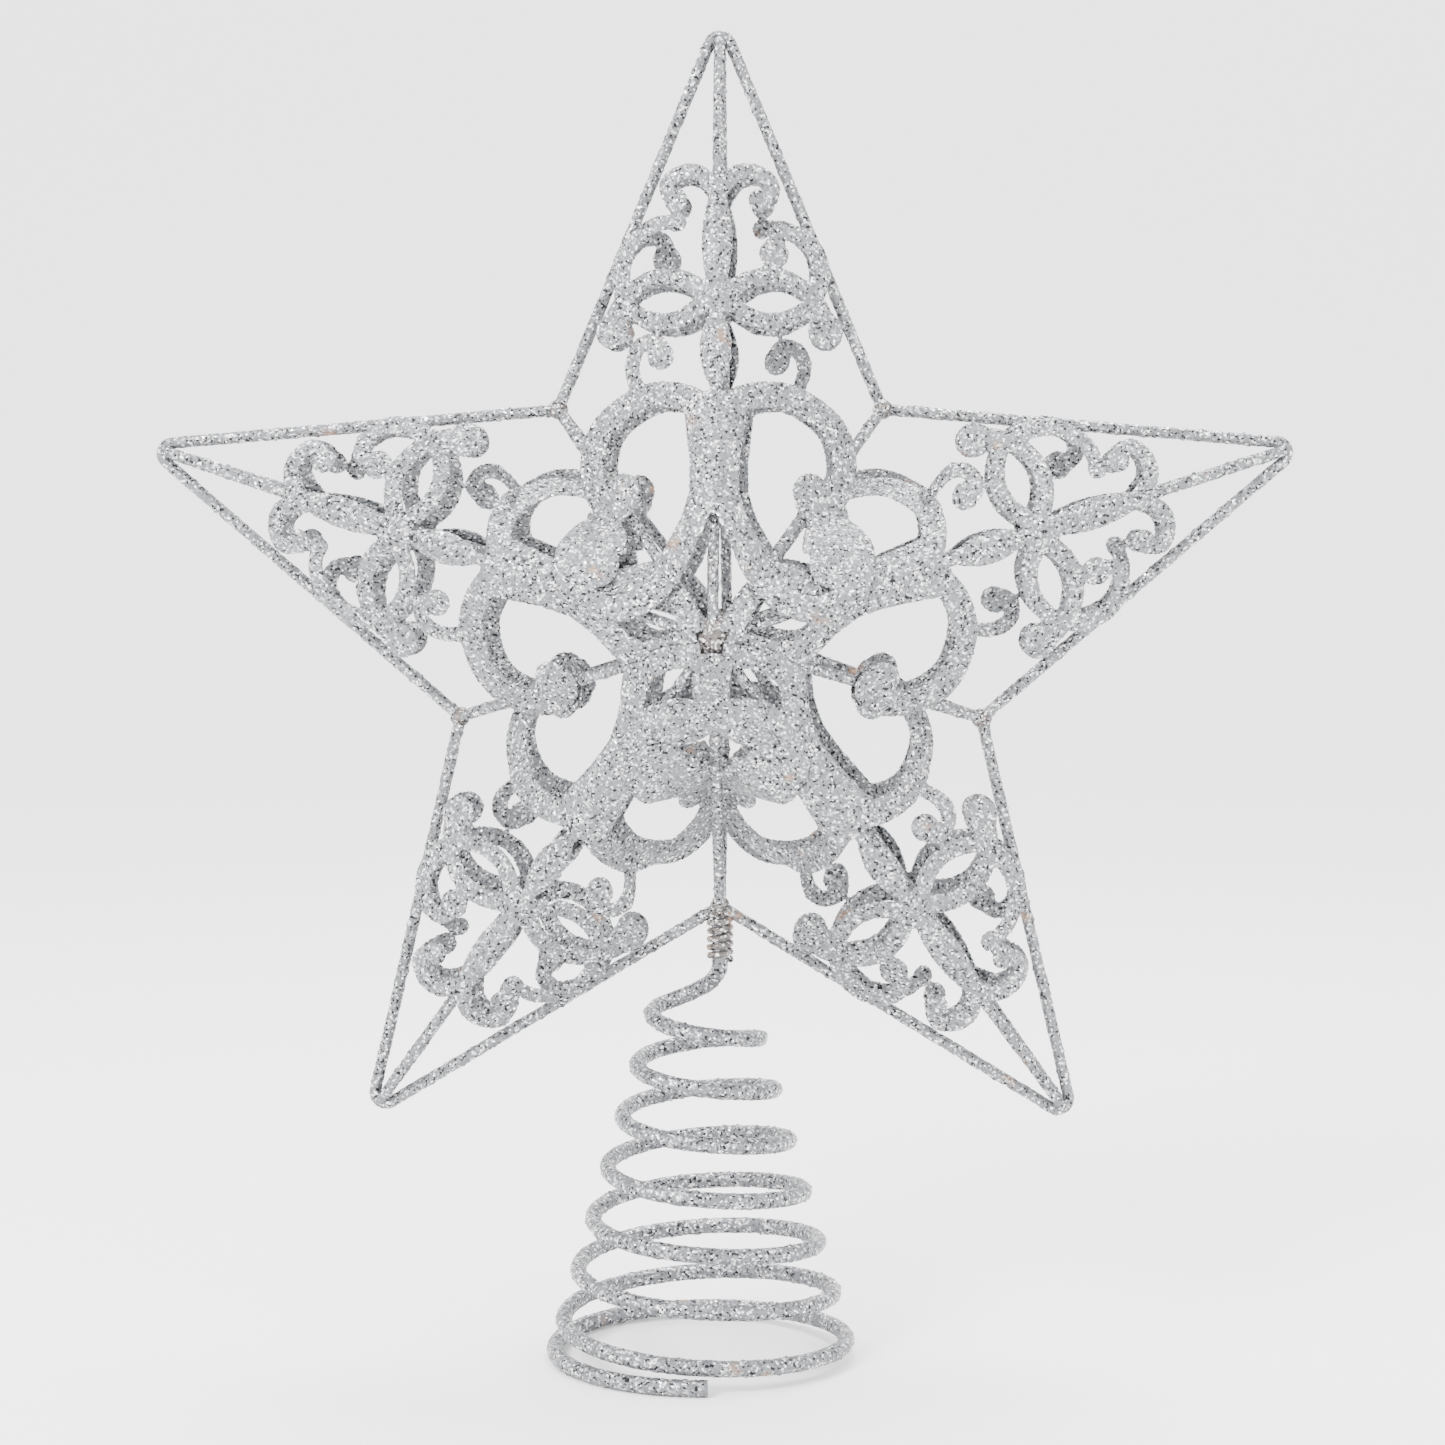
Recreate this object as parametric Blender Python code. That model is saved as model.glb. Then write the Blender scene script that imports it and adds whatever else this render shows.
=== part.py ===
"""Wire star tree topper: a five-point wire star with folded filigree panels on a conical coil spring.

The star stands in the XZ plane and faces -Y. The origin is on the resting surface, under the star.
"""
from math import cos, pi, radians, sin

import bmesh
import bpy
from mathutils import Matrix, Vector

MM = 0.001

# Driving dimensions of the star, in metres
TIP_RADIUS = 121.5 * MM
VALLEY_RADIUS = 55.0 * MM
APEX_DEPTH = 30.0 * MM
STAR_HEIGHT = 147.0 * MM
ARM_STEP = radians(72)
HALF_STEP = ARM_STEP / 2

# Wires of the star
WIRE_RADIUS = 1.25 * MM
TIP_BEND_RADIUS = 2.2 * MM
BEAD_RADIUS = 1.6 * MM
HUB_RADIUS = 4.8 * MM
WIRE_END_GAP = 2.1 * MM
STRUT_END_GAP = 3.4 * MM
RIDGE_TIP_GAP = 7.4 * MM
HUB_GAP = 5.6 * MM

# Filigree panels
PANEL_THICKNESS = 0.9 * MM
PANEL_OFFSET = 1.9 * MM
RING_NARROWING = 0.6

# Conical spring
SPRING_WIRE_RADIUS = 1.7 * MM
SPRING_AXIS_X = -3.6 * MM
SPRING_BASE_RADIUS = 28.9 * MM
SPRING_TAPER = 3.0 * MM
END_TURN_TAPER = 1.5 * MM
SPRING_PITCH = 10.4 * MM
SPRING_TURNS = 6.26
RAMP_START = -0.75
RAMP_END = 0.1
CUT_END_ANGLE = radians(275)
SPRING_SIDES = 8
STEPS_PER_TURN = 16
NECK_TOP = STAR_HEIGHT - VALLEY_RADIUS - 3.3 * MM
SLEEVE_RADIUS = 2.9 * MM
SLEEVE_BORE = 2.05 * MM
SLEEVE_LENGTH = 7.0 * MM

ARMS = ("top", "right", "lower_right", "lower_left", "left")
CENTRE = Vector((0, 0, STAR_HEIGHT))


def clear_scene():
    for obj in list(bpy.data.objects):
        bpy.data.objects.remove(obj, do_unlink=True)


def make_material(name, colour, roughness, metallic):
    material = bpy.data.materials.new(name)
    material.use_nodes = True
    shader = material.node_tree.nodes["Principled BSDF"]
    shader.inputs["Base Color"].default_value = (*colour, 1)
    shader.inputs["Roughness"].default_value = roughness
    shader.inputs["Metallic"].default_value = metallic
    return material


def add_object(name, mesh, material):
    obj = bpy.data.objects.new(name, mesh)
    obj.data.materials.append(material)
    bpy.context.scene.collection.objects.link(obj)
    return obj


def mesh_from(bm, name, smooth=True, turn_out=True):
    mesh = bpy.data.meshes.new(name)
    if turn_out:
        bmesh.ops.recalc_face_normals(bm, faces=bm.faces)
    bm.to_mesh(mesh)
    bm.free()
    if smooth:
        mesh.shade_smooth()
        mesh.set_sharp_from_angle(angle=radians(60))
    return mesh


def tube_mesh(name, points, radius, sides, reference):
    """A round wire along a list of points. One facet faces away from the reference direction."""
    bm = bmesh.new()
    rings = []
    last = len(points) - 1
    for i, point in enumerate(points):
        tangent = (points[min(i + 1, last)] - points[max(i - 1, 0)]).normalized()
        side = tangent.cross(reference).normalized()
        up = side.cross(tangent)
        ring = []
        for j in range(sides):
            angle = 2 * pi * (j + 0.5) / sides
            ring.append(bm.verts.new(point + radius * (sin(angle) * side + cos(angle) * up)))
        rings.append(ring)
    for a, b in zip(rings, rings[1:]):
        for j in range(sides):
            k = (j + 1) % sides
            bm.faces.new((a[j], a[k], b[k], b[j]))
    bm.faces.new(rings[0])
    bm.faces.new(rings[-1])
    return mesh_from(bm, name)


def arm_axes(index):
    """Directions along and across an arm, as seen from the front with its tip up."""
    angle = pi / 2 - ARM_STEP * index
    along = Vector((cos(angle), 0, sin(angle)))
    across = Vector((sin(angle), 0, -cos(angle)))
    return along, across


def valley_point(index):
    """The inner corner that follows arm index, going clockwise."""
    angle = pi / 2 - ARM_STEP * index - HALF_STEP
    return CENTRE + VALLEY_RADIUS * Vector((cos(angle), 0, sin(angle)))


def apex_point(side):
    return CENTRE + Vector((0, side * APEX_DEPTH, 0))


def straight_wire(name, start, end, start_gap, end_gap, material):
    direction = (end - start).normalized()
    points = [start + direction * start_gap, end - direction * end_gap]
    mesh = tube_mesh(name, points, WIRE_RADIUS, 6, Vector((0.13, 0.31, 0.94)).cross(direction))
    return add_object(name, mesh, material)


def outline_wire(index, material):
    """One wire from inner corner to inner corner, bent over at the tip."""
    name = "outline_wire_" + ARMS[index]
    along, across = arm_axes(index)
    tip = CENTRE + along * TIP_RADIUS
    left = valley_point(index - 1)
    right = valley_point(index)
    half_angle = (left - tip).angle(-along)
    bend_centre = tip - along * (TIP_BEND_RADIUS / sin(half_angle))
    swing = pi / 2 - half_angle
    points = [left + (tip - left).normalized() * WIRE_END_GAP]
    for step in range(7):
        angle = swing * (step / 3 - 1)
        spoke = along * cos(angle) + across * sin(angle)
        points.append(bend_centre + spoke * TIP_BEND_RADIUS)
    points.append(right + (tip - right).normalized() * WIRE_END_GAP)
    mesh = tube_mesh(name, points, WIRE_RADIUS, 6, Vector((0, 1, 0)))
    return add_object(name, mesh, material)


def bead(name, centre, radius, flatten, material):
    """A weld bead, a little flattened along the view direction."""
    bm = bmesh.new()
    bmesh.ops.create_icosphere(bm, subdivisions=1, radius=radius)
    bmesh.ops.scale(bm, vec=(1, flatten, 1), verts=bm.verts)
    bmesh.ops.translate(bm, vec=centre, verts=bm.verts)
    return add_object(name, mesh_from(bm, name), material)


# Filigree outline, in millimetres along (u) and across (v) the arm

def leaf(start, end, half_width, steps=5):
    """A pointed oval on the ridge line."""
    right = []
    for i in range(1, steps):
        t = i / steps
        right.append((start + (end - start) * t, half_width * sin(pi * t)))
    left = [(u, -v) for u, v in reversed(right)]
    return [(start, 0)] + right + [(end, 0)] + left


def disc(centre_u, centre_v, radius, sides=10):
    return [(centre_u + radius * cos(2 * pi * i / sides), centre_v + radius * sin(2 * pi * i / sides))
            for i in range(sides)]


def band(points, width):
    """A strip of constant width along a smooth line through the points."""
    line = []
    last = len(points) - 1
    for i in range(last):
        p0 = Vector(points[max(i - 1, 0)])
        p1 = Vector(points[i])
        p2 = Vector(points[i + 1])
        p3 = Vector(points[min(i + 2, last)])
        for t in (0.0, 0.5):
            line.append(0.5 * (2 * p1 + (p2 - p0) * t + (2 * p0 - 5 * p1 + 4 * p2 - p3) * t ** 2
                               + (3 * p1 - p0 - 3 * p2 + p3) * t ** 3))
    line.append(Vector(points[last]))
    near = []
    far = []
    end = len(line) - 1
    for i, point in enumerate(line):
        tangent = (line[min(i + 1, end)] - line[max(i - 1, 0)]).normalized()
        normal = Vector((-tangent.y, tangent.x)) * width / 2
        near.append(tuple(point + normal))
        far.append(tuple(point - normal))
    return near + far[::-1]


def mirrored(shape, sign):
    return [(u, v * sign) for u, v in shape]


def narrowed(points):
    """The big lobes are pulled in towards the ridge, so that neighbours stay apart."""
    return [(u, v * RING_NARROWING + 1.6) for u, v in points]


def filigree_shapes():
    shapes = [leaf(63.0, 89.0, 2.9), leaf(46.5, 65.0, 2.9), disc(65.8, 0, 3.2)]
    shapes.append([(25.0, -4.6), (43.5, -5.6), (48.2, -2.4), (48.2, 2.4), (43.5, 5.6), (25.0, 4.6)])
    ring = narrowed([(45.0, 2.0), (46.4, 12.5), (40.5, 21.5), (33.0, 25.0), (26.0, 22.6), (24.0, 18.0)])
    for sign in (-1, 1):
        shapes.append(mirrored(band([(27.0, 2.4), (20.0, 4.4), (14.8, 6.2)], 4.6), sign))
        shapes.append(mirrored(disc(14.8, 6.2, 2.7, 8), sign))
        shapes.append(mirrored(band(ring, 4.4), sign))
        shapes.append(mirrored(disc(26.8, 13.0, 3.0, 8), sign))
        shapes.append(mirrored(band([(65.9, 1.5), (69.9, 10.5), (65.6, 19.0)], 3.3), sign))
        shapes.append(mirrored(band([(65.9, 1.5), (61.2, 10.5), (65.6, 19.0)], 3.3), sign))
        shapes.append(mirrored(band([(66.0, 17.6), (61.0, 20.6)], 3.6), sign))
        shapes.append(mirrored(disc(59.9, 21.0, 3.4), sign))
        shapes.append(mirrored(band([(87.0, 0.8), (90.4, 5.0), (88.2, 9.8), (84.8, 8.4)], 2.6), sign))
    shapes.append(band([(65.4, 18.6), (72.0, 19.6), (78.2, 16.4), (77.6, 11.6), (74.4, 11.0)], 3.0))
    shapes.append(disc(74.4, 11.0, 2.8, 8))
    shapes.append(band([(65.4, -18.6), (73.0, -18.8), (80.0, -14.4), (80.6, -8.2)], 2.8))
    return shapes


def prism(shape, name):
    """A flat plate of the panel's thickness, cut to the shape."""
    bm = bmesh.new()
    verts = [bm.verts.new((u * MM, v * MM, 0)) for u, v in shape]
    face = bm.faces.new(verts)
    grown = bmesh.ops.extrude_face_region(bm, geom=[face])
    top = [item for item in grown["geom"] if isinstance(item, bmesh.types.BMVert)]
    bmesh.ops.translate(bm, vec=(0, 0, PANEL_THICKNESS), verts=top)
    mesh = mesh_from(bm, name, smooth=False)
    obj = bpy.data.objects.new(name, mesh)
    bpy.context.scene.collection.objects.link(obj)
    return obj


def flat_filigree():
    """The stamping before it is folded: its strips joined into one plate."""
    shapes = filigree_shapes()
    base = prism(shapes[0], "stamping")
    cutters = []
    for i, shape in enumerate(shapes[1:]):
        other = prism(shape, "strip_%02d" % i)
        modifier = base.modifiers.new("join", "BOOLEAN")
        modifier.operation = "UNION"
        modifier.object = other
        cutters.append(other)
    depsgraph = bpy.context.evaluated_depsgraph_get()
    mesh = bpy.data.meshes.new_from_object(base.evaluated_get(depsgraph))
    for obj in cutters + [base]:
        bpy.data.objects.remove(obj, do_unlink=True)
    bm = bmesh.new()
    bm.from_mesh(mesh)
    bmesh.ops.triangulate(bm, faces=bm.faces)
    geometry = bm.verts[:] + bm.edges[:] + bm.faces[:]
    bmesh.ops.bisect_plane(bm, geom=geometry, plane_co=(0, 0, 0), plane_no=(0, 1, 0), dist=1e-6)
    bmesh.ops.triangulate(bm, faces=bm.faces)
    # Along, across and outward are a left-handed set, so folding the plate turns it inside out
    bmesh.ops.reverse_faces(bm, faces=bm.faces)
    return bm


def filigree_panel(index, side, name, flat, material):
    """The stamping folded over the ridge of one arm: side -1 is the front, +1 the back."""
    slope = APEX_DEPTH / TIP_RADIUS
    valley_u = VALLEY_RADIUS * cos(HALF_STEP)
    valley_v = VALLEY_RADIUS * sin(HALF_STEP)
    fold = APEX_DEPTH * (1 - valley_u / TIP_RADIUS) / valley_v
    along, across = arm_axes(index)
    outward = Vector((0, side, 0))
    bm = flat.copy()
    for vert in bm.verts:
        u, v, height = vert.co
        depth = APEX_DEPTH - slope * u - fold * abs(v) + PANEL_OFFSET + height
        vert.co = CENTRE + along * u - across * v * side + outward * depth
    mesh = mesh_from(bm, name, smooth=False, turn_out=False)
    return add_object(name, mesh, material)


# Conical spring

def spring_point(turn):
    """Centre of the wire after a number of turns up from the flat end turn (which is -1 to 0)."""
    angle = CUT_END_ANGLE - 2 * pi * turn
    radius = SPRING_BASE_RADIUS - turn * (SPRING_TAPER if turn > 0 else END_TURN_TAPER)
    ramp = RAMP_END - RAMP_START
    height = SPRING_WIRE_RADIUS * cos(pi / SPRING_SIDES)
    if turn > RAMP_END:
        height += SPRING_PITCH * (ramp / 2 + turn - RAMP_END)
    elif turn > RAMP_START:
        height += SPRING_PITCH * (turn - RAMP_START) ** 2 / (2 * ramp)
    return Vector((SPRING_AXIS_X + radius * cos(angle), radius * sin(angle), height))


def spring_part(name, start, end, material):
    count = round((end - start) * STEPS_PER_TURN)
    points = [spring_point(start + (end - start) * i / count) for i in range(count + 1)]
    mesh = tube_mesh(name, points, SPRING_WIRE_RADIUS, SPRING_SIDES, Vector((0, 0, 1)))
    return add_object(name, mesh, material)


def spring_neck(start_turn, material):
    """The wire leaves the top coil, crosses to the star's axis and rises to the sleeve."""
    start = spring_point(start_turn)
    heading = (spring_point(start_turn + 0.01) - start).normalized()
    end = Vector((0, 0, NECK_TOP))
    bend = Vector((0, 0, start.z + 10 * MM))
    handles = [start, start + heading * 9 * MM, Vector((0, 2.5 * MM, start.z + 3.5 * MM)), bend]
    points = []
    for i in range(9):
        t = i / 8
        weights = ((1 - t) ** 3, 3 * t * (1 - t) ** 2, 3 * t * t * (1 - t), t ** 3)
        points.append(sum((w * h for w, h in zip(weights, handles)), Vector()))
    points.append(end)
    mesh = tube_mesh("spring_neck", points, SPRING_WIRE_RADIUS, SPRING_SIDES, Vector((0.2, 1, 0)))
    return add_object("spring_neck", mesh, material)


def solder_sleeve(material):
    """A short wrapped sleeve round the top of the neck, under the lowest inner corner."""
    bm = bmesh.new()
    profile = [(SLEEVE_BORE, -SLEEVE_LENGTH), (SLEEVE_RADIUS, -SLEEVE_LENGTH),
               (SLEEVE_RADIUS, 0), (SLEEVE_BORE, 0)]
    sides = 12
    rings = []
    for j in range(sides):
        turn = Matrix.Rotation(2 * pi * j / sides, 3, "Z")
        rings.append([bm.verts.new(turn @ Vector((x, 0, NECK_TOP - 0.6 * MM + z))) for x, z in profile])
    for j in range(sides):
        a = rings[j]
        b = rings[(j + 1) % sides]
        for i in range(4):
            bm.faces.new((a[i], b[i], b[(i + 1) % 4], a[(i + 1) % 4]))
    return add_object("neck_sleeve", mesh_from(bm, "neck_sleeve"), material)


clear_scene()
wire_finish = make_material("glittered_wire", (0.55, 0.56, 0.58), 0.45, 0.7)
panel_finish = make_material("glittered_sheet", (0.58, 0.59, 0.61), 0.42, 0.7)
spring_finish = make_material("glittered_spring", (0.55, 0.56, 0.58), 0.45, 0.7)
solder_finish = make_material("solder", (0.42, 0.38, 0.36), 0.5, 0.8)

stamping = flat_filigree()
for arm in range(len(ARMS)):
    outline_wire(arm, wire_finish)
    along_arm, across_arm = arm_axes(arm)
    arm_tip = CENTRE + along_arm * TIP_RADIUS
    for face, label in ((-1, "front"), (1, "back")):
        apex = apex_point(face)
        straight_wire(label + "_ridge_rod_" + ARMS[arm], arm_tip, apex, RIDGE_TIP_GAP, HUB_GAP, wire_finish)
        straight_wire("%s_valley_strut_%d" % (label, arm + 1), valley_point(arm), apex,
                      STRUT_END_GAP, HUB_GAP, wire_finish)
        filigree_panel(arm, face, label + "_filigree_" + ARMS[arm], stamping, panel_finish)
    bead("corner_bead_%d" % (arm + 1), valley_point(arm), BEAD_RADIUS, 1.0, solder_finish)
for face, label in ((-1, "front"), (1, "back")):
    bead(label + "_hub_bead", apex_point(face), HUB_RADIUS, 0.6, solder_finish)
stamping.free()

spring_part("spring_end_turn", -1.0, -0.02, spring_finish)
spring_part("spring_coils", 0.01, SPRING_TURNS - 0.02, spring_finish)
spring_neck(SPRING_TURNS, spring_finish)
solder_sleeve(solder_finish)
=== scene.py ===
from math import cos, pi, radians, sin

import bmesh
import bpy
import numpy as np
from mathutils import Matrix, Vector
from mathutils.geometry import interpolate_bezier


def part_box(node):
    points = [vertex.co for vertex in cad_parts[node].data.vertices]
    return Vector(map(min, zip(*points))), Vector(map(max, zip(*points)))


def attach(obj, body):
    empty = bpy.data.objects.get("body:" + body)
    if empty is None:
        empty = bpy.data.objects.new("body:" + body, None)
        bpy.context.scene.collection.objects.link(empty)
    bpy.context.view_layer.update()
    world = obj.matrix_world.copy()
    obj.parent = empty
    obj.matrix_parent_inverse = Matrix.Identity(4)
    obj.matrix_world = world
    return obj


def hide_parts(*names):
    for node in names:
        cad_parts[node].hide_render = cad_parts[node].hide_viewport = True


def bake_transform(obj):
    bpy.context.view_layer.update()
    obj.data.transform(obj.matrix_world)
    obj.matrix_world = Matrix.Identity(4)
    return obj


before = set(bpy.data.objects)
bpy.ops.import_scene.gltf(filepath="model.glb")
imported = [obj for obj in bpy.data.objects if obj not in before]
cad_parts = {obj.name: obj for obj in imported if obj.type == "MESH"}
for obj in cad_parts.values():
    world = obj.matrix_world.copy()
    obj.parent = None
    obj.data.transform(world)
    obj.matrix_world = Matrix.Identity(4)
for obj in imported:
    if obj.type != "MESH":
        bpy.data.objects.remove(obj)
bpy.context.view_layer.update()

# ---------------------------------------------------------------------------
# Outline wires: five lengths of steel wire, each bent sharply over at a tip and
# welded to its neighbours at the inner corners, then glued and rolled in glitter.
# ---------------------------------------------------------------------------
MM = 0.001
ARMS = ("top", "right", "lower_right", "lower_left", "left")
hub_low, hub_high = (Vector(corner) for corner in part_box("front_hub_bead"))
APEX_DEPTH = -(hub_low.y + hub_high.y) / 2
CENTRE = Vector((0, 0, (hub_low.z + hub_high.z) / 2))
TIP_RADIUS = 121.5 * MM
VALLEY_RADIUS = 55.0 * MM
WIRE_RADIUS = 1.15 * MM
TIP_BEND = 2.2 * MM
GRAIN = 0.62 * MM
GRAIN_HEIGHT = 0.17 * MM
chance = np.random.RandomState(20)


def arm_axes(index):
    angle = pi / 2 - radians(72) * index
    along = Vector((cos(angle), 0, sin(angle)))
    across = Vector((sin(angle), 0, -cos(angle)))
    return along, across


def corner_point(index):
    angle = pi / 2 - radians(72) * index - radians(36)
    return CENTRE + VALLEY_RADIUS * Vector((cos(angle), 0, sin(angle)))


def glitter(name, light, painted_shade_flake_colour, roughness, cell, tarnish=0.0):
    """Coarse silver flakes lying every way up. At random, a few are painted near-black as painted shade and a
    few are painted white as painted glints, standing in for flakes turned from the light and flakes catching
    it.
    """
    material = bpy.data.materials.new(name)
    material.use_nodes = True
    nodes = material.node_tree.nodes
    links = material.node_tree.links
    shader = nodes["Principled BSDF"]
    shader.inputs["Metallic"].default_value = 0.72
    place = nodes.new("ShaderNodeTexCoord")
    flakes = nodes.new("ShaderNodeTexVoronoi")
    flakes.inputs["Scale"].default_value = 1 / cell
    links.new(place.outputs["Object"], flakes.inputs["Vector"])
    split = nodes.new("ShaderNodeSeparateColor")
    links.new(flakes.outputs["Color"], split.inputs["Color"])
    # Random tone per flake: the silver middle of the ramp is the flakes' own colour. The near-black low end
    # is painted shade and the white top end is painted glints.
    flake_tone_painted_light = nodes.new("ShaderNodeValToRGB")
    flake_tone_painted_light.color_ramp.interpolation = "LINEAR"
    stops = flake_tone_painted_light.color_ramp.elements
    stops[0].position = 0.0
    stops[0].color = (*painted_shade_flake_colour, 1)
    stops[1].position = 1.0
    stops[1].color = (1.0, 1.0, 1.0, 1)
    # A whitened silver near the top of the ramp, painted as a softer painted glint.
    painted_glint_colour = tuple(0.6 * a + 0.4 * b for a, b in zip(light, (1.0, 1.0, 1.0)))
    for position, colour in ((0.08, painted_shade_flake_colour), (0.16, light), (0.72, light), (0.88, painted_glint_colour)):
        stop = stops.new(position)
        stop.color = (*colour, 1)
    links.new(split.outputs["Red"], flake_tone_painted_light.inputs["Fac"])
    worn = nodes.new("ShaderNodeTexNoise")
    worn.inputs["Scale"].default_value = 95
    worn.inputs["Detail"].default_value = 3
    links.new(place.outputs["Object"], worn.inputs["Vector"])
    worn_edge = nodes.new("ShaderNodeMapRange")
    worn_edge.inputs["From Min"].default_value = 0.69 - tarnish
    worn_edge.inputs["From Max"].default_value = 0.76 - tarnish
    links.new(worn.outputs["Fac"], worn_edge.inputs["Value"])
    mix = nodes.new("ShaderNodeMix")
    mix.data_type = "RGBA"
    mix.inputs["B"].default_value = (0.34, 0.22, 0.16, 1)
    links.new(worn_edge.outputs["Result"], mix.inputs["Factor"])
    links.new(flake_tone_painted_light.outputs["Color"], mix.inputs["A"])
    links.new(mix.outputs["Result"], shader.inputs["Base Color"])
    gloss = nodes.new("ShaderNodeMapRange")
    gloss.inputs["To Min"].default_value = roughness - 0.12
    gloss.inputs["To Max"].default_value = roughness + 0.2
    links.new(split.outputs["Green"], gloss.inputs["Value"])
    links.new(gloss.outputs["Result"], shader.inputs["Roughness"])
    bump = nodes.new("ShaderNodeBump")
    bump.inputs["Strength"].default_value = 1.0
    bump.inputs["Distance"].default_value = 0.00035
    links.new(split.outputs["Blue"], bump.inputs["Height"])
    links.new(bump.outputs["Normal"], shader.inputs["Normal"])
    return material


wire_glitter = glitter("silver_glitter_wire", (0.17, 0.175, 0.185), (0.012, 0.012, 0.014), 0.34, 0.42 * MM)
bead_glitter = glitter("glittered_solder", (0.14, 0.125, 0.12), (0.02, 0.015, 0.012), 0.42, 0.42 * MM, 0.1)


def add_piece(name, verts, faces, material, body, replaced=()):
    mesh = bpy.data.meshes.new(name)
    mesh.from_pydata(verts, [], faces)
    mesh.materials.append(material)
    mesh.update()
    piece = bpy.data.objects.new(name, mesh)
    bpy.context.scene.collection.objects.link(piece)
    if body:
        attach(piece, body)
    if replaced:
        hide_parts(*replaced)
    return piece


def even_points(points, step):
    """The same line with points an even step apart."""
    line = np.array([tuple(p) for p in points])
    lengths = np.linalg.norm(np.diff(line, axis=0), axis=1)
    travelled = np.concatenate(([0.0], np.cumsum(lengths)))
    count = max(2, int(travelled[-1] / step) + 1)
    stations = np.linspace(0, travelled[-1], count)
    return np.stack([np.interp(stations, travelled, line[:, i]) for i in range(3)], axis=1)


def grainy_tube(points, radius, reference, grain=GRAIN_HEIGHT):
    """A wire whose coat of flakes stands up unevenly, with cut ends."""
    line = even_points(points, GRAIN)
    tangents = np.gradient(line, axis=0)
    tangents /= np.linalg.norm(tangents, axis=1)[:, None]
    side = np.cross(tangents, np.array(reference))
    side /= np.linalg.norm(side, axis=1)[:, None]
    up = np.cross(side, tangents)
    sides = max(10, int(2 * pi * radius / GRAIN))
    rings = len(line)
    angles = 2 * pi * np.arange(sides) / sides
    angles = angles[None, :] + 0.35 * chance.rand(rings, sides) / sides * 2 * pi
    lift = radius + grain * (chance.rand(rings, sides) - 0.35)
    proud = chance.rand(rings, sides) > 0.965
    lift += proud * grain * 1.3
    around = np.cos(angles)[..., None] * up[:, None] + np.sin(angles)[..., None] * side[:, None]
    verts = line[:, None] + around * lift[..., None]
    verts = verts + tangents[:, None] * (chance.rand(rings, sides, 1) - 0.5) * GRAIN * 0.5
    verts = [tuple(v) for v in verts.reshape(-1, 3)]
    faces = []
    for i in range(rings - 1):
        for j in range(sides):
            k = (j + 1) % sides
            faces.append((i * sides + j, (i + 1) * sides + j, (i + 1) * sides + k, i * sides + k))
    faces.append(tuple(range(sides)))
    faces.append(tuple(range((rings - 1) * sides, rings * sides))[::-1])
    return verts, faces


def join_shapes(shapes):
    verts = []
    faces = []
    for more_verts, more_faces in shapes:
        start = len(verts)
        verts += more_verts
        faces += [tuple(i + start for i in face) for face in more_faces]
    return verts, faces


for index, arm in enumerate(ARMS):
    along, across = arm_axes(index)
    tip = CENTRE + along * TIP_RADIUS
    left = corner_point(index - 1)
    right = corner_point(index)
    half_angle = (left - tip).angle(-along)
    bend_centre = tip - along * TIP_BEND / sin(half_angle)
    swing = pi / 2 - half_angle
    # Each wire is cut a little long, so its ends stand out of the weld as small nubs
    route = [left - (tip - left).normalized() * 1.2 * MM]
    for step in range(13):
        angle = swing * (step / 6 - 1)
        route.append(bend_centre + (along * cos(angle) + across * sin(angle)) * TIP_BEND)
    route.append(right - (tip - right).normalized() * 0.4 * MM)
    verts, faces = grainy_tube(route, WIRE_RADIUS, (0, 1, 0))
    add_piece("glittered_outline_" + arm, verts, faces, wire_glitter, "star",
              ["outline_wire_" + arm])

# ---------------------------------------------------------------------------
# Ridge rods and valley struts: straight wires from the tips and from the inner
# corners to the front and back apex. They give the star its depth.
# ---------------------------------------------------------------------------
ROD_RADIUS = 1.1 * MM
RIDGE_TIP_GAP = 4.2 * MM
for side, label in ((-1, "front"), (1, "back")):
    apex = CENTRE + Vector((0, side * APEX_DEPTH, 0))
    for index, arm in enumerate(ARMS):
        along, across = arm_axes(index)
        start = CENTRE + along * (TIP_RADIUS - RIDGE_TIP_GAP) + Vector((0, side * 0.9 * MM, 0))
        end = apex + along * 1.2 * MM
        verts, faces = grainy_tube([start, end], ROD_RADIUS, across)
        add_piece("%s_ridge_%s" % (label, arm), verts, faces, wire_glitter, "star",
                  ["%s_ridge_rod_%s" % (label, arm)])
        corner = corner_point(index)
        outward = (corner - CENTRE).normalized()
        verts, faces = grainy_tube([corner + outward * 1.5 * MM, apex + outward * 1.2 * MM],
                                   ROD_RADIUS, outward.cross(Vector((0, 1, 0))))
        add_piece("%s_valley_%d" % (label, index + 1), verts, faces, wire_glitter, "star",
                  ["%s_valley_strut_%d" % (label, index + 1)])

# ---------------------------------------------------------------------------
# Welds: lumps of solder where the wires meet, at the inner corners and at the
# front and back apex, and a wrapped sleeve that holds the spring's neck.
# ---------------------------------------------------------------------------


def grainy_lump(centre, size, steps=14):
    """An uneven rounded lump."""
    verts = []
    faces = []
    for i in range(1, steps):
        polar = pi * i / steps
        for j in range(steps * 2):
            turn = pi * j / steps
            swell = 1 + 0.16 * (chance.rand() - 0.5)
            spot = Vector((sin(polar) * cos(turn), sin(polar) * sin(turn), cos(polar))) * swell
            verts.append(tuple(centre + Vector((spot.x * size[0], spot.y * size[1], spot.z * size[2]))))
    row = steps * 2
    for i in range(steps - 2):
        for j in range(row):
            k = (j + 1) % row
            faces.append((i * row + j, (i + 1) * row + j, (i + 1) * row + k, i * row + k))
    faces.append(tuple(range(row)))
    faces.append(tuple(range((steps - 2) * row, (steps - 1) * row))[::-1])
    return verts, faces


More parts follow.
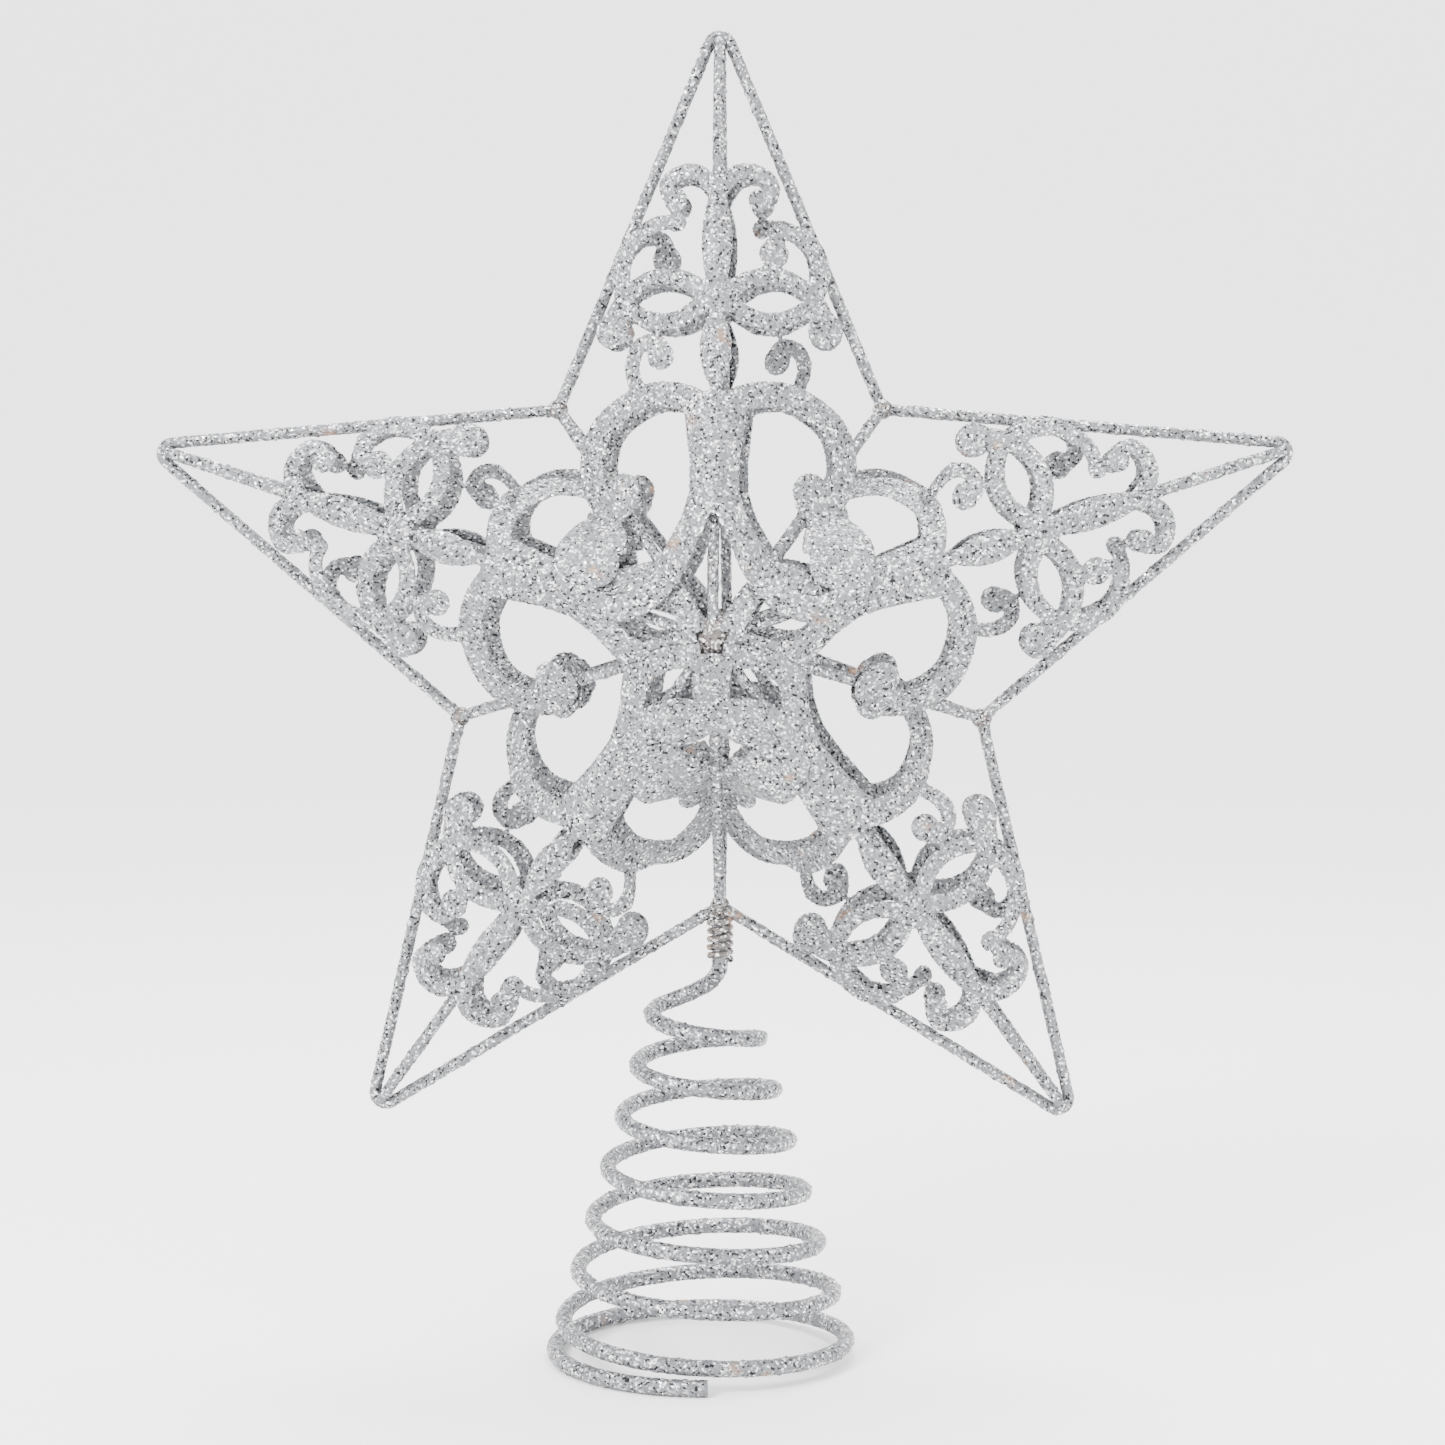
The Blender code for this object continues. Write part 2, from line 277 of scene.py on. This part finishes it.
for index in range(5):
    verts, faces = grainy_lump(corner_point(index), (1.9 * MM, 2.1 * MM, 1.9 * MM))
    add_piece("corner_weld_%d" % (index + 1), verts, faces, bead_glitter, "star",
              ["corner_bead_%d" % (index + 1)])
for side, label in ((-1, "front"), (1, "back")):
    apex = CENTRE + Vector((0, side * (APEX_DEPTH - 0.6 * MM), 0))
    verts, faces = grainy_lump(apex, (4.0 * MM, 2.2 * MM, 4.0 * MM))
    add_piece(label + "_apex_weld", verts, faces, bead_glitter, "star", [label + "_hub_bead"])
lowest_corner = corner_point(2)
sleeve_low, sleeve_high = (Vector(corner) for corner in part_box("neck_sleeve"))
wraps = []
for i in range(121):
    angle = 2 * pi * 6 * i / 120
    height = sleeve_low.z + (lowest_corner.z - sleeve_low.z - 1.0 * MM) * i / 120
    wraps.append(Vector((2.1 * MM * cos(angle), 2.1 * MM * sin(angle), height)))
verts, faces = grainy_tube(wraps, 0.65 * MM, (0, 0, 1), 0.08 * MM)
add_piece("neck_wrapping", verts, faces, bead_glitter, "star", ["neck_sleeve"])

# ---------------------------------------------------------------------------
# Filigree panels: scrollwork stamped from thin steel sheet, ten alike, each bent
# along its stem over a ridge. The big lobes are bent in by hand to clear each other.
# ---------------------------------------------------------------------------
SHEET = 1.0 * MM
VOXEL = 0.36 * MM
PANEL_CLEARANCE = 1.9 * MM
BEND_LINE = 5.0 * MM
FOLD_ROUNDING = 1.1 * MM
FOLD_DROP = 0.6 * MM
LOBE_END = 54 * MM
LOBE_FADE = 8 * MM
FEET_START = 24.5 * MM
FEET_FADE = 6 * MM
sheet_glitter = glitter("silver_glitter_sheet", (0.20, 0.206, 0.217), (0.016, 0.016, 0.018), 0.38, 0.45 * MM)


def smooth_line(points, steps=8):
    line = []
    last = len(points) - 1
    for i in range(last):
        p0, p1 = Vector(points[max(i - 1, 0)]), Vector(points[i])
        p2, p3 = Vector(points[i + 1]), Vector(points[min(i + 2, last)])
        for step in range(steps):
            t = step / steps
            line.append(0.5 * (2 * p1 + (p2 - p0) * t + (2 * p0 - 5 * p1 + 4 * p2 - p3) * t ** 2
                               + (3 * p1 - p0 - 3 * p2 + p3) * t ** 3))
    line.append(Vector(points[last]))
    return line


def strip(points, widths):
    """A strip along a smooth line whose width runs evenly from one end's to the other's."""
    line = smooth_line(points)
    end = len(line) - 1
    near = []
    far = []
    for i, point in enumerate(line):
        tangent = (line[min(i + 1, end)] - line[max(i - 1, 0)]).normalized()
        width = widths[0] + (widths[1] - widths[0]) * i / end
        normal = Vector((-tangent.y, tangent.x)) * width / 2
        near.append(tuple(point + normal))
        far.append(tuple(point - normal))
    return near + far[::-1]


def oval(u, v, half_u, half_v, sides=28):
    return [(u + half_u * cos(2 * pi * i / sides), v + half_v * sin(2 * pi * i / sides))
            for i in range(sides)]


def tilted_oval(u, v, half_long, half_wide, tilt, sides=28):
    outline = []
    for i in range(sides):
        far = half_long * cos(2 * pi * i / sides)
        wide = half_wide * sin(2 * pi * i / sides)
        outline.append((u + far * cos(tilt) - wide * sin(tilt), v + far * sin(tilt) + wide * cos(tilt)))
    return outline


def leaf(start, end, half_width, steps=16):
    right = [(start + (end - start) * i / steps, half_width * sin(pi * i / steps)) for i in range(1, steps)]
    return [(start, 0)] + right + [(end, 0)] + [(u, -v) for u, v in reversed(right)]


def both_sides(shape):
    return [shape, [(u, -v) for u, v in shape]]


# All in millimetres: along the arm from the star's centre, and across it
stamping = [leaf(63.0, 91.0, 3.0), leaf(46.5, 65.0, 3.1), oval(65.8, 0, 3.1, 3.3)]
stamping.append([(24.0, -4.8), (34, -4.8), (43.0, -6.0), (47.5, -3.2), (47.5, 3.2), (43.0, 6.0),
                 (34, 4.8), (24.0, 4.8)])
stamping += both_sides(strip([(44.0, 1.5), (46.6, 7.0), (46.4, 14.5), (41.0, 22.6), (33.5, 25.2),
                              (26.6, 23.4), (24.6, 19.6), (27.0, 17.4)], (5.2, 4.6)))
stamping += both_sides(oval(28.4, 18.4, 3.3, 3.3))
stamping += both_sides(strip([(65.9, 1.0), (69.6, 7.0), (69.8, 13.0), (66.2, 19.4)], (3.6, 3.4)))
stamping += both_sides(strip([(65.9, 1.0), (61.8, 7.0), (61.6, 13.0), (65.0, 19.2)], (3.6, 3.2)))
stamping += both_sides(strip([(66.4, 17.8), (63.5, 20.0), (60.2, 21.0)], (3.8, 4.2)))
stamping += both_sides(oval(59.8, 21.0, 3.5, 3.4))
stamping += both_sides(strip([(87.0, 0.6), (90.2, 3.4), (90.8, 7.0), (88.8, 10.2), (86.0, 9.8)], (3.2, 2.8)))
stamping += both_sides(oval(85.2, 8.3, 2.3, 2.3))
hook_with_ball = [(65.6, 18.6), (70.0, 20.0), (75.0, 19.2), (78.6, 15.8), (78.6, 12.0), (76.0, 10.6)]
stamping.append(strip(hook_with_ball, (3.8, 3.0)))
stamping.append(oval(74.6, 11.0, 2.9, 2.8))
stamping.append(strip([(65.6, -18.6), (71.0, -19.4), (76.5, -17.8), (80.4, -13.0), (81.0, -9.0)], (3.8, 2.8)))
stamping.append(oval(80.8, -8.0, 1.9, 1.9))
small_curl = [(47.6, -15.6), (52.0, -16.8), (56.2, -15.6), (57.6, -12.4), (56.0, -10.6)]
stamping.append(strip(small_curl, (3.0, 3.0)))
stamping.append(oval(54.5, -11.0, 2.7, 2.7))
stamping += both_sides(strip([(27.5, 2.3), (21.5, 4.4), (15.4, 7.6)], (5.0, 5.2)))
base_scroll = strip([(17.0, 6.6), (11.0, 9.8), (6.8, 14.6), (5.8, 21.0), (9.6, 27.0), (16.0, 28.4),
                     (20.4, 25.0), (20.0, 20.0), (16.0, 19.2)], (5.4, 4.6))
base_ball = oval(14.0, 22.6, 4.3, 4.3)
base_foot = oval(14.8, 7.6, 2.8, 2.8)
# The side and lower arms' feet close in a loop over the apex, and one keeps its leaf below it
apex_loop = strip([(21.5, 4.4), (15.0, 7.2), (9.0, 5.4), (3.5, 0.0)], (5.0, 4.4))
drop_leaf = tilted_oval(8.0, -4.3, 5.2, 2.8, radians(-36))


def rounded_sheet(shapes, name):
    """Overlapping strips become one sheet with softly rounded edges. Returned as points and faces."""
    bm = bmesh.new()
    for shape in shapes:
        face = bm.faces.new([bm.verts.new((u * MM, v * MM, 0)) for u, v in shape])
        grown = bmesh.ops.extrude_face_region(bm, geom=[face])
        top = [item for item in grown["geom"] if isinstance(item, bmesh.types.BMVert)]
        bmesh.ops.translate(bm, vec=(0, 0, SHEET), verts=top)
    bmesh.ops.recalc_face_normals(bm, faces=bm.faces)
    mesh = bpy.data.meshes.new(name)
    bm.to_mesh(mesh)
    bm.free()
    plate = bpy.data.objects.new(name, mesh)
    bpy.context.scene.collection.objects.link(plate)
    remesh = plate.modifiers.new("merge", "REMESH")
    remesh.mode = "VOXEL"
    remesh.voxel_size = VOXEL
    depsgraph = bpy.context.evaluated_depsgraph_get()
    merged = bpy.data.meshes.new_from_object(plate.evaluated_get(depsgraph))
    points = np.empty(len(merged.vertices) * 3)
    merged.vertices.foreach_get("co", points)
    faces = [tuple(p.vertices)[::-1] for p in merged.polygons]
    bpy.data.objects.remove(plate, do_unlink=True)
    return points.reshape(-1, 3), faces


# How fast the star's surface falls away to each side of a ridge
corner_u = VALLEY_RADIUS * cos(radians(36))
corner_v = VALLEY_RADIUS * sin(radians(36))
FOLD = APEX_DEPTH * (1 - corner_u / TIP_RADIUS) / corner_v


def star_depth(flat_x, flat_z):
    """Depth of the star's folded surface under a point of its outline plane."""
    angle = np.arctan2(flat_x, flat_z)
    nearest = np.round(angle / radians(72)) * radians(72)
    reach = np.hypot(flat_x, flat_z)
    u = reach * np.cos(angle - nearest)
    v = np.abs(reach * np.sin(angle - nearest))
    return APEX_DEPTH * (1 - u / TIP_RADIUS) - FOLD * v


# How steeply the big lobes fall away past the bend line: left wing and right wing, seen with the tip up
LOBE_SLOPES = {
    "front_top": (0.62, 0.62), "back_top": (0.8, 0.8),
    "front_right": (1.35, 0.66), "back_right": (0.8, 1.1),
    "front_left": (0.66, 1.35), "back_left": (1.1, 0.8),
    "front_lower_right": (0.9, 1.3), "back_lower_right": (1.1, 0.9),
    "front_lower_left": (1.3, 0.9), "back_lower_left": (0.9, 1.1),
}
SCROLLS = {"front_top": (-1, 1), "back_top": (-1, 1), "front_lower_right": (1,), "back_lower_right": (-1,),
           "front_lower_left": (-1,), "back_lower_left": (1,)}


def fold_over_ridge(points, index, side, slopes, layer):
    """Bends the flat sheet over an arm's ridge, drops its big lobes and lays its feet on the star."""
    along, across = (np.array(tuple(axis)) for axis in arm_axes(index))
    u, v, height = points[:, 0], points[:, 1], points[:, 2]
    soft_v = np.sqrt(v ** 2 + FOLD_ROUNDING ** 2) - FOLD_DROP
    depth = APEX_DEPTH * (1 - u / TIP_RADIUS) - FOLD * soft_v
    steep = np.where(v < 0, slopes[0], slopes[1])
    lobe = np.clip((LOBE_END - u) / LOBE_FADE, 0, 1)
    beyond = np.maximum(np.abs(v) - BEND_LINE, 0)
    shrink = np.sqrt(1 + FOLD ** 2) / np.sqrt(1 + steep ** 2)
    feet = np.clip((FEET_START - u) / FEET_FADE, 0, 1)
    lobe = lobe * (1 - feet)
    flat_v = np.sign(v) * (np.minimum(np.abs(v), BEND_LINE) + beyond * (1 + lobe * (shrink - 1)))
    depth = depth + lobe * (FOLD * beyond - steep * beyond * shrink)
    x = along[0] * u - across[0] * flat_v * side
    z = along[2] * u - across[2] * flat_v * side
    surface = star_depth(x, z) + layer
    depth = depth * (1 - feet) + np.maximum(depth, surface) * feet
    depth = depth + PANEL_CLEARANCE + height
    return np.stack([x, side * depth, z + CENTRE.z], axis=1)


plain_points, plain_faces = rounded_sheet(stamping + both_sides(base_foot), "plain_stamping")
for side, label in ((-1, "front"), (1, "back")):
    for index, arm in enumerate(ARMS):
        key = "%s_%s" % (label, arm)
        points, faces = plain_points, plain_faces
        extra = [] if arm == "top" else both_sides(apex_loop)
        if key in ("front_lower_left", "back_lower_left"):
            extra.append([(u, -v * side) for u, v in drop_leaf])
        if extra or key in SCROLLS:
            for turn in SCROLLS.get(key, ()):
                extra += [[(u, v * turn) for u, v in shape] for shape in (base_scroll, base_ball)]
            points, faces = rounded_sheet(stamping + both_sides(base_foot) + extra, "scrolled_stamping")
        layer = {"top": 1.6 * MM, "right": 0.3 * MM, "left": 0.3 * MM}.get(arm, 1.0 * MM)
        rough = points + (chance.rand(*points.shape) - 0.5) * np.array((0.26, 0.26, 0.3)) * MM
        bent = fold_over_ridge(rough, index, side, LOBE_SLOPES[key], layer)
        add_piece(label + "_scrollwork_" + arm, [tuple(p) for p in bent], faces, sheet_glitter, "star",
                  ["%s_filigree_%s" % (label, arm)])

# ---------------------------------------------------------------------------
# Spring: one length of heavier wire wound left-handed into an open cone. Its end
# turn lies flat, and its top crosses to the middle and rises as the star's neck.
# ---------------------------------------------------------------------------
SPRING_WIRE = 1.6 * MM
SPRING_AXIS_X = -3.6 * MM
BASE_RADIUS = 28.9 * MM
TAPER = 3.0 * MM
END_TAPER = 1.5 * MM
PITCH = 10.4 * MM
TURNS = 6.26
RAMP_START = -0.75
RAMP_END = 0.1
spring_glitter = glitter("silver_glitter_spring", (0.17, 0.175, 0.187), (0.012, 0.012, 0.014),
                         0.34, 0.45 * MM)


def spring_point(turn):
    angle = radians(275) - 2 * pi * turn
    radius = BASE_RADIUS - turn * (TAPER if turn > 0 else END_TAPER)
    ramp = RAMP_END - RAMP_START
    height = SPRING_WIRE + 0.12 * MM
    if turn > RAMP_END:
        height += PITCH * (ramp / 2 + turn - RAMP_END)
    elif turn > RAMP_START:
        height += PITCH * (turn - RAMP_START) ** 2 / (2 * ramp)
    return Vector((SPRING_AXIS_X + radius * cos(angle), radius * sin(angle), height))


route = [spring_point(-1 + (TURNS + 1) * i / 700) for i in range(701)]
start = route[-1]
heading = (route[-1] - route[-2]).normalized()
bend = Vector((0, 0, start.z + 10 * MM))
route += interpolate_bezier(start, start + heading * 9 * MM, Vector((0, 2.5 * MM, start.z + 3.5 * MM)),
                            bend, 24)[1:]
route.append(Vector((0, 0, lowest_corner.z - 1.0 * MM)))
verts, faces = grainy_tube(route, SPRING_WIRE, (0.02, 0.05, 1))
spring = add_piece("glittered_spring", verts, faces, spring_glitter, None,
                   ["spring_end_turn", "spring_coils", "spring_neck"])
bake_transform(spring)

# ---------------------------------------------------------------------------
# Floor, lights and camera: a plain pale sweep under broad soft light, seen from a
# little above the middle of the star and a little to its right.
# ---------------------------------------------------------------------------
floor_mesh = bpy.data.meshes.new("floor")
# The floor runs back flat, then curves up into a wall
SWEEP_START = 1.2
SWEEP_RADIUS = 0.8
sweep = [(-3.0, 0.0)]
for i in range(17):
    angle = pi / 2 * i / 16
    sweep.append((SWEEP_START + SWEEP_RADIUS * sin(angle), SWEEP_RADIUS - SWEEP_RADIUS * cos(angle)))
sweep.append((SWEEP_START + SWEEP_RADIUS, 3.5))
floor_verts = [(x, y, z) for y, z in sweep for x in (-4, 4)]
floor_faces = [(2 * i, 2 * i + 1, 2 * i + 3, 2 * i + 2) for i in range(len(sweep) - 1)]
floor_mesh.from_pydata(floor_verts, [], floor_faces)
floor_mesh.shade_smooth()
floor = bpy.data.objects.new("floor", floor_mesh)
bpy.context.scene.collection.objects.link(floor)
paper = bpy.data.materials.new("white_paper")
paper.use_nodes = True
paper.node_tree.nodes["Principled BSDF"].inputs["Base Color"].default_value = (0.93, 0.93, 0.93, 1)
paper.node_tree.nodes["Principled BSDF"].inputs["Roughness"].default_value = 0.9
floor_mesh.materials.append(paper)

world = bpy.context.scene.world or bpy.data.worlds.new("studio")
bpy.context.scene.world = world
world.use_nodes = True
world.node_tree.nodes["Background"].inputs["Color"].default_value = (1.0, 1.0, 1.0, 1)
world.node_tree.nodes["Background"].inputs["Strength"].default_value = 3.2


def soft_light(name, place, size, power):
    light = bpy.data.lights.new(name, "AREA")
    light.size = size
    light.energy = power
    lamp = bpy.data.objects.new(name, light)
    lamp.location = place
    lamp.rotation_euler = (CENTRE - Vector(place)).to_track_quat("-Z", "Y").to_euler()
    bpy.context.scene.collection.objects.link(lamp)


soft_light("key", (-0.5, -0.7, 0.75), 0.3, 16)
soft_light("fill", (0.8, -0.6, 0.4), 0.6, 3)
soft_light("top", (0.1, 0.3, 1.0), 0.5, 12)

VIEW_DISTANCE = 0.62
VIEW_WIDTH = 0.289
aim = Vector((0.0005, 0, 0.129))
camera_data = bpy.data.cameras.new("camera")
camera_data.lens = camera_data.sensor_width * VIEW_DISTANCE / VIEW_WIDTH
camera = bpy.data.objects.new("camera", camera_data)
camera.location = (0.03, -VIEW_DISTANCE, 0.172)
camera.rotation_euler = (aim - camera.location).to_track_quat("-Z", "Y").to_euler()
bpy.context.scene.collection.objects.link(camera)
bpy.context.scene.camera = camera
